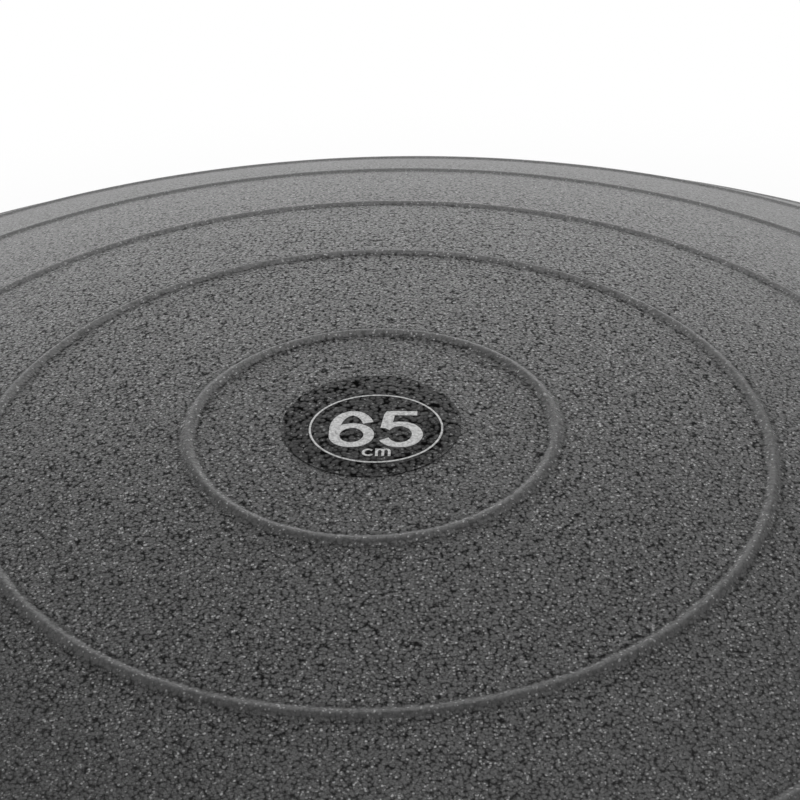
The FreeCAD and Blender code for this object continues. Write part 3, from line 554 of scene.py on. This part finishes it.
def grip_piece(name, node):
    """An L section along Y: place = (across, along, up), its finger side raised by a cosine of 0.7 mm."""
    low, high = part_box(node)
    side = 1 if low.x > 0 else -1
    back = low.x if side > 0 else high.x
    wall, reach = 2.5 * MM, high.x - low.x
    corners = [[0, 0], [reach, 0], [reach, wall], [wall, wall], [wall, high.z - low.z], [0, high.z - low.z]]
    section = rounded(corners, [1.4 * MM, 0.7 * MM, 0.2 * MM, 0.2 * MM, 0.5 * MM, 0.5 * MM], 6)
    soft = np.clip(1 - section[:, 1] / wall, 0, 1) * np.clip(1 - section[:, 0] / reach, 0, 1)
    steps = 121
    along = np.linspace(low.y, high.y, steps)
    wave = 0.5 - 0.5 * np.cos((along - low.y) / (high.y - low.y) * 2 * np.pi * 4)
    ends = np.clip(np.minimum(along - low.y, high.y - along) / (1.5 * MM), 0, 1) ** 0.5
    centre = section.mean(0)
    shape = centre + (section - centre) * (0.9 + 0.1 * ends)[:, None, None]
    up = shape[..., 1] + soft * (1 - wave)[:, None] * 0.7 * MM
    across = back + side * shape[..., 0]
    places = np.stack([across, np.broadcast_to(along[:, None], up.shape), low.z + up], -1).reshape(-1, 3)
    count = len(section)
    faces = quads(steps, count, False, True)
    k = np.arange(count)
    k_next = (k + 1) % count
    middles = np.array([[back + side * centre[0], along[0], low.z + centre[1]],
                        [back + side * centre[0], along[-1], low.z + centre[1]]])
    first, last = len(places), len(places) + 1
    tail = (steps - 1) * count
    faces = np.concatenate([
        faces,
        np.stack([k_next, k, 0 * k + first, 0 * k + first], -1),
        np.stack([tail + k, tail + k_next, 0 * k + last, 0 * k + last], -1),
    ])
    if side > 0:
        faces = np.where((faces[:, 2:3] == faces[:, 3:4]), faces[:, [1, 0, 2, 3]], faces[:, ::-1])
    piece = new_piece(name, np.concatenate([places, middles]), faces)
    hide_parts(node)
    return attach(piece, "platform")


grips = [grip_piece("grip_right_rubber", "grip_right"), grip_piece("grip_left_rubber", "grip_left")]

# %% [markdown]
# The dome's skin has two textures. Between the ribs it is pebbled: small soft lumps, half a millimetre
# across, with creases between them that are darkened by painted shade. The ribs are nearly smooth, and their
# colour is raised as a painted sheen. Painting that by hand would need a huge image, so it is worked out
# from a pattern of cells. An attribute on the mesh says how far each point lies from the middle of the
# nearest rib.

# %% The pebbled rubber


def store_ribs(piece):
    """Stores on each point its distance from the nearest rib's middle, in half widths of a rib, up to 4."""
    mesh = piece.data
    places = np.empty(len(mesh.vertices) * 3)
    mesh.vertices.foreach_get("co", places)
    places = places.reshape(-1, 3)
    angle = np.arctan2(np.hypot(places[:, 0], places[:, 1]), places[:, 2] - CENTRE)
    off = np.abs(angle[:, None] - RIB_ANGLES).min(1) * BALL / (RIB_WIDTH / 2)
    off = np.minimum(off, 4).astype(np.float32)
    mesh.attributes.new("rib", "FLOAT", "POINT").data.foreach_set("value", off)


def from_axis(finish, at):
    """Distance from the upright axis through the crown."""
    flat = finish.node("VectorMath", {"operation": "MULTIPLY"}, {0: at, 1: (1, 1, 0)})
    return finish.node("VectorMath", {"operation": "LENGTH"}, {0: flat}, out="Value")


def lumps(finish, size, at):
    """Heights of soft round lumps with creases between, from 0 to 1."""
    distance = finish.cells(size, at=at)
    return 1 - distance**1.8


def pebbles(finish, at):
    """(height, shade) of the skin between ribs: lumps of two sizes, each of its own tone, roughened all
    over, with painted shade that takes the colour down to nothing in the creases."""
    coarse, fine = lumps(finish, 0.5 * MM, at), lumps(finish, 0.3 * MM, at)
    rough = finish.noise(0.16 * MM, 3, 0.65, at=at)
    height = coarse * 0.5 + fine * 0.25 + rough * 0.4
    broad = finish.noise(7 * MM, 4, 0.6, at=at)
    own = finish.cells(0.5 * MM, out="Color", at=at) + finish.cells(0.3 * MM, out="Color", at=at) * 0.6
    # Painted shade: the colour falls to nothing in the low creases, under each lump's own random tone.
    return height, height.between(0.35, 1.0) * (0.15 + own) * (0.75 + broad * 0.5)


def dome_finish():
    """Pebbles that grow shallower down the sides, with smoother ribs painted lighter as a painted sheen,
    painted glints on the lump tops, and painted shade in the creases and in a fine line at each rib's foot."""
    finish = Finish("pebbled_rubber")
    at = finish.here()
    off = finish.node("Attribute", {"attribute_name": "rib"}, out="Fac")
    rib = 1 - off.between(0.3, 1.2)
    # Painted shade: a thin band at each rib's foot, later mixed towards the dark matt shader as a fine dark
    # line.
    rib_foot_shade = off.between(0.7, 1.05) * (1 - off.between(1.1, 1.6))
    full = 1 - from_axis(finish, at).between(45 * MM, 145 * MM) * 0.65
    height, shade = pebbles(finish, at)
    # Painted glints: bright specks on the lump tops, painted into the colour below.
    painted_glints = finish.cells(0.3 * MM, out="Color", at=at).between(0.72, 0.92) * height.between(0.6, 0.85) * full
    shade = shade * full + (1 - full) * 0.5
    # Painted sheen: the ribs' colour is raised towards a lighter tone, for the brighter light off their
    # smooth tops.
    shade = shade + (1.1 + finish.noise(0.2 * MM, 2, at=at) * 0.9 - shade) * rib * 0.7
    base = finish.mixed(shade * 0.6, 0.003, 0.08)
    finish.feed("Base Color", finish.mixed(painted_glints * 0.7, base, 0.5))
    finish.feed("Roughness", 0.46 - painted_glints * 0.2 - height * 0.1 + rib * 0.04)
    finish.feed("Normal", finish.bump(height * full * (1 - rib * 0.5), 0.15 * MM))
    # Painted shade: the creases between lumps, fewer on the ribs, and the band at each rib's foot are mixed
    # towards the dark matt shader.
    painted_crease_shade = (1 - height.between(0.42, 0.84)) * (0.9 - rib * 0.62) * full
    finish.paint_shade(painted_crease_shade + (1 - painted_crease_shade) * rib_foot_shade * 0.3)
    return finish


store_ribs(dome)
wear(dome, dome_finish())
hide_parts("dome_shell")
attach(dome, "platform")
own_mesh(dome)

# %% [markdown]
# The round patch at the crown is part of the same moulding, but its pebbles are coarser and darker, from a
# lower colour and from painted shade. The size mark is printed on it in pale ink. The print is thin, so the
# pebbles show through and leave it mottled.

# %% The patch and its print


def patch_finish():
    """Coarser, darker lumps with painted glints and painted shade, which give way to the skin's own over a
    ragged edge.
    """
    finish = Finish("coarse_pebbled_rubber", **{"Specular IOR Level": 0.35})
    at = finish.here()
    ragged = from_axis(finish, at) + finish.noise(1.6 * MM, 3, at=at) * (2.4 * MM)
    edge = ragged.between(14.0 * MM, 15.0 * MM)
    height, shade = pebbles(finish, at)
    coarse = lumps(finish, 0.66 * MM, at) * 0.75 + finish.noise(0.2 * MM, 3, at=at) * 0.4
    height = coarse + (height - coarse) * edge
    own = finish.cells(0.66 * MM, out="Color", at=at)
    # Painted shade: the colour is darker down in the creases, under each lump's own random tone.
    dark = coarse.between(0.4, 1.0) * own * own * 1.5
    base = finish.mixed(dark + (shade - dark) * edge, 0.003, 0.05)
    # Painted glints: bright specks on the lump tops are painted into the colour.
    painted_glints = finish.cells(0.34 * MM, out="Color", at=at).between(0.74, 0.92) * coarse.between(0.6, 0.85)
    finish.feed("Base Color", finish.mixed(painted_glints * 0.5, base, 0.5))
    finish.feed("Roughness", 0.6 - edge * 0.14 - height * 0.1)
    finish.feed("Normal", finish.bump(height, 0.15 * MM))
    # Painted shade: the creases, and a quarter of the whole patch inside its ragged edge, are mixed towards
    # the dark matt shader.
    finish.paint_shade((1 - height.between(0.42, 0.84)) * 0.75 + (1 - edge) * 0.25)
    return finish


def ink_finish():
    finish = Finish("pale_ink", **{"Specular IOR Level": 0.4, "Roughness": 0.62})
    at = finish.here()
    grain = lumps(finish, 0.66 * MM, at)
    worn = finish.noise(0.42 * MM, 3, 0.6, at=at)
    tone = (grain * 0.25 + worn * 1.2).between(0.45, 1.0)
    finish.feed("Base Color", finish.mixed(tone, 0.34, 0.72))
    finish.feed("Normal", finish.bump(grain, 0.08 * MM))
    return finish


ink = ink_finish()
wear(patch, patch_finish())
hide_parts("size_patch")
for piece in (patch, numerals, oval):
    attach(piece, "crown")
for piece in (numerals, oval):
    wear(piece, ink)

# %% [markdown]
# The rest is moulded plastic, rubber and zinc-plated steel. Moulded plastic takes its fine grain from the
# mould and is never one even shade, so each finish has a small relief and a broad drift in its gloss. Grips
# and feet pick up dust and scuffs, which lighten them in patches.

# %% Plastic, rubber and steel


def moulded(name, shade, grain=0.5 * MM, depth=0.03 * MM, gloss=0.5, dust=0.0):
    """Moulded plastic or rubber: a fine grain, a slow drift of gloss, and some pale dust in broad patches."""
    finish = Finish(name, **{"Specular IOR Level": 0.45})
    at = finish.here()
    fine = finish.noise(grain, 2, at=at)
    broad = finish.noise(45 * MM, 4, at=at)
    dusty = finish.noise(18 * MM, 5, 0.65, at=at).between(0.5, 0.75) * dust
    shade = np.broadcast_to(shade, 3)
    body = finish.mixed(broad, shade * 0.88, shade * 1.12)
    finish.feed("Base Color", finish.mixed(dusty, body, 0.32))
    finish.feed("Roughness", gloss - 0.06 + broad * 0.12 + dusty * 0.2)
    finish.feed("Normal", finish.bump(fine, depth))
    return finish


def plated():
    """Zinc plate: pale metal, with a faint drift in its tone and gloss and a fine relief."""
    finish = Finish("zinc_plate", Metallic=1.0)
    at = finish.here()
    broad = finish.noise(3 * MM, 3, at=at)
    fine = finish.noise(0.3 * MM, 2, at=at)
    finish.feed("Base Color", finish.mixed(broad, (0.5, 0.5, 0.51), (0.64, 0.64, 0.65)))
    finish.feed("Roughness", 0.3 + broad * 0.12)
    finish.feed("Normal", finish.bump(fine, 0.01 * MM))
    return finish


wear(ring, moulded("ring_plastic", (0.10, 0.105, 0.11), 0.6 * MM, 0.035 * MM, 0.42))
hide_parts("clamp_ring")
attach(ring, "platform")
grip_rubber = moulded("grip_rubber", (0.09, 0.09, 0.095), 0.4 * MM, 0.05 * MM, 0.7, 0.12)
foot_rubber = moulded("foot_rubber", (0.07, 0.07, 0.072), 0.5 * MM, 0.05 * MM, 0.7, 0.3)
for piece in grips:
    wear(piece, grip_rubber)
for piece in feet:
    wear(piece, foot_rubber)
pan_plastic = moulded("pan_plastic", (0.045, 0.047, 0.05), 0.7 * MM, 0.05 * MM, 0.52, 0.06)
repaint(["base_pan", "stiffening_grid"], pan_plastic)
repaint(["deck_plate"], moulded("deck_plastic", (0.06, 0.06, 0.065), 0.5 * MM, 0.02 * MM, 0.4))
repaint(["rim_seal", "valve_washer"], moulded("seal_rubber", 0.02, 0.5 * MM, 0.01 * MM, 0.5))
repaint(["clamp_screws", "deck_screws", "foot_screws"], plated())
repaint(["valve_body", "valve_nut"], moulded("valve_plastic", (0.3, 0.31, 0.32), 0.4 * MM, 0.02 * MM, 0.45))
repaint(["valve_plug"], moulded("plug_plastic", (0.72, 0.73, 0.74), 0.6 * MM, 0.015 * MM, 0.3))

# %% [markdown]
# A plain pale floor catches the shadow. For rays from the camera it is mixed most of the way to an even
# white, and all of the way further off, so the object stands before a white background while the floor
# beside it still shows its shadow. Every other ray meets a plain pale floor.

# %% Floor


def floor_finish():
    plain = {"Base Color": (0.8, 0.8, 0.8, 1), "Roughness": 0.7, "Specular IOR Level": 0.2}
    finish = Finish("pale_floor", **plain)
    out = finish.tree.nodes["Material Output"]
    ray = finish.node("LightPath", out="Is Camera Ray")
    far = finish.node("VectorMath", {"operation": "LENGTH"}, {0: finish.here()}, out="Value")
    white = finish.node("Emission", None, {"Color": (1, 1, 1, 1), "Strength": 1.0})
    glossy = finish.node("LightPath", out="Is Glossy Ray")
    share = ray * (0.55 + far.between(0.33, 0.6) * 0.45) + glossy
    mixed = finish.node("MixShader", None, {0: share, 1: Wire(finish, finish.shader.outputs[0]), 2: white})
    clear = finish.node("BsdfTransparent")
    below = finish.node("NewGeometry", out="Backfacing")
    mixed = finish.node("MixShader", None, {0: below, 1: mixed, 2: clear})
    finish.tree.links.new(mixed.socket, out.inputs["Surface"])
    return finish


def add_floor():
    t = np.linspace(0, 2 * np.pi, 96, endpoint=False)
    places = np.stack([12 * np.cos(t), 12 * np.sin(t), 0 * t - 0.1 * MM], -1)
    mesh = bpy.data.meshes.new("floor")
    mesh.from_pydata(places.tolist(), [], [list(range(96))])
    mesh.materials.append(floor_finish().material)
    floor = bpy.data.objects.new("floor", mesh)
    bpy.context.scene.collection.objects.link(floor)


add_floor()

# %% [markdown]
# The light is that of a white studio. One large soft lamp hangs above and a little behind. A wide low panel
# behind the object gives the far side of the dome its sheen, and two weak lamps stand at the sides. All are
# large and well away, so that no shadow has a hard edge. The sky is white to the camera and dimmer in
# reflections.

# %% Light


def add_lamp(name, place, size, power):
    """A rectangular lamp that faces the object's middle."""
    data = bpy.data.lights.new(name, "AREA")
    data.shape = "RECTANGLE"
    data.size, data.size_y = size
    data.energy = power
    lamp = bpy.data.objects.new(name, data)
    place = Vector(place)
    turn = (Vector((0, 0, 0.15)) - place).to_track_quat("-Z", "Y")
    lamp.matrix_world = Matrix.Translation(place) @ turn.to_matrix().to_4x4()
    bpy.context.scene.collection.objects.link(lamp)


def add_sky(strength):
    """An even sky: white to the camera, half as bright in reflections, and lower still as light on the
    object."""
    world = bpy.data.worlds.new("sky")
    world.use_nodes = True
    nodes, links = world.node_tree.nodes, world.node_tree.links
    ray = nodes.new("ShaderNodeLightPath")
    seen = ray.outputs["Is Camera Ray"]
    for kind, share in (("Is Glossy Ray", 0.5), ("Is Transmission Ray", 1.0)):
        part = nodes.new("ShaderNodeMath")
        part.operation = "MULTIPLY"
        links.new(ray.outputs[kind], part.inputs[0])
        part.inputs[1].default_value = share
        either = nodes.new("ShaderNodeMath")
        either.operation = "MAXIMUM"
        links.new(seen, either.inputs[0])
        links.new(part.outputs[0], either.inputs[1])
        seen = either.outputs[0]
    level = nodes.new("ShaderNodeMapRange")
    links.new(seen, level.inputs["Value"])
    level.inputs["To Min"].default_value = strength
    level.inputs["To Max"].default_value = 1.0
    nodes["Background"].inputs["Color"].default_value = (1, 1, 1, 1)
    links.new(level.outputs[0], nodes["Background"].inputs["Strength"])
    bpy.context.scene.world = world


add_sky(0.32)
add_lamp("top_lamp", (0.4, 1.4, 3.2), (2.4, 2.4), 44)
add_lamp("back_lamp", (0.0, 3.6, 0.9), (4.0, 1.4), 36)
add_lamp("left_lamp", (-2.9, -0.3, 1.6), (1.6, 1.6), 11)
add_lamp("right_lamp", (2.9, -0.2, 1.4), (1.6, 1.6), 9)
bpy.context.scene.view_settings.view_transform = "Standard"
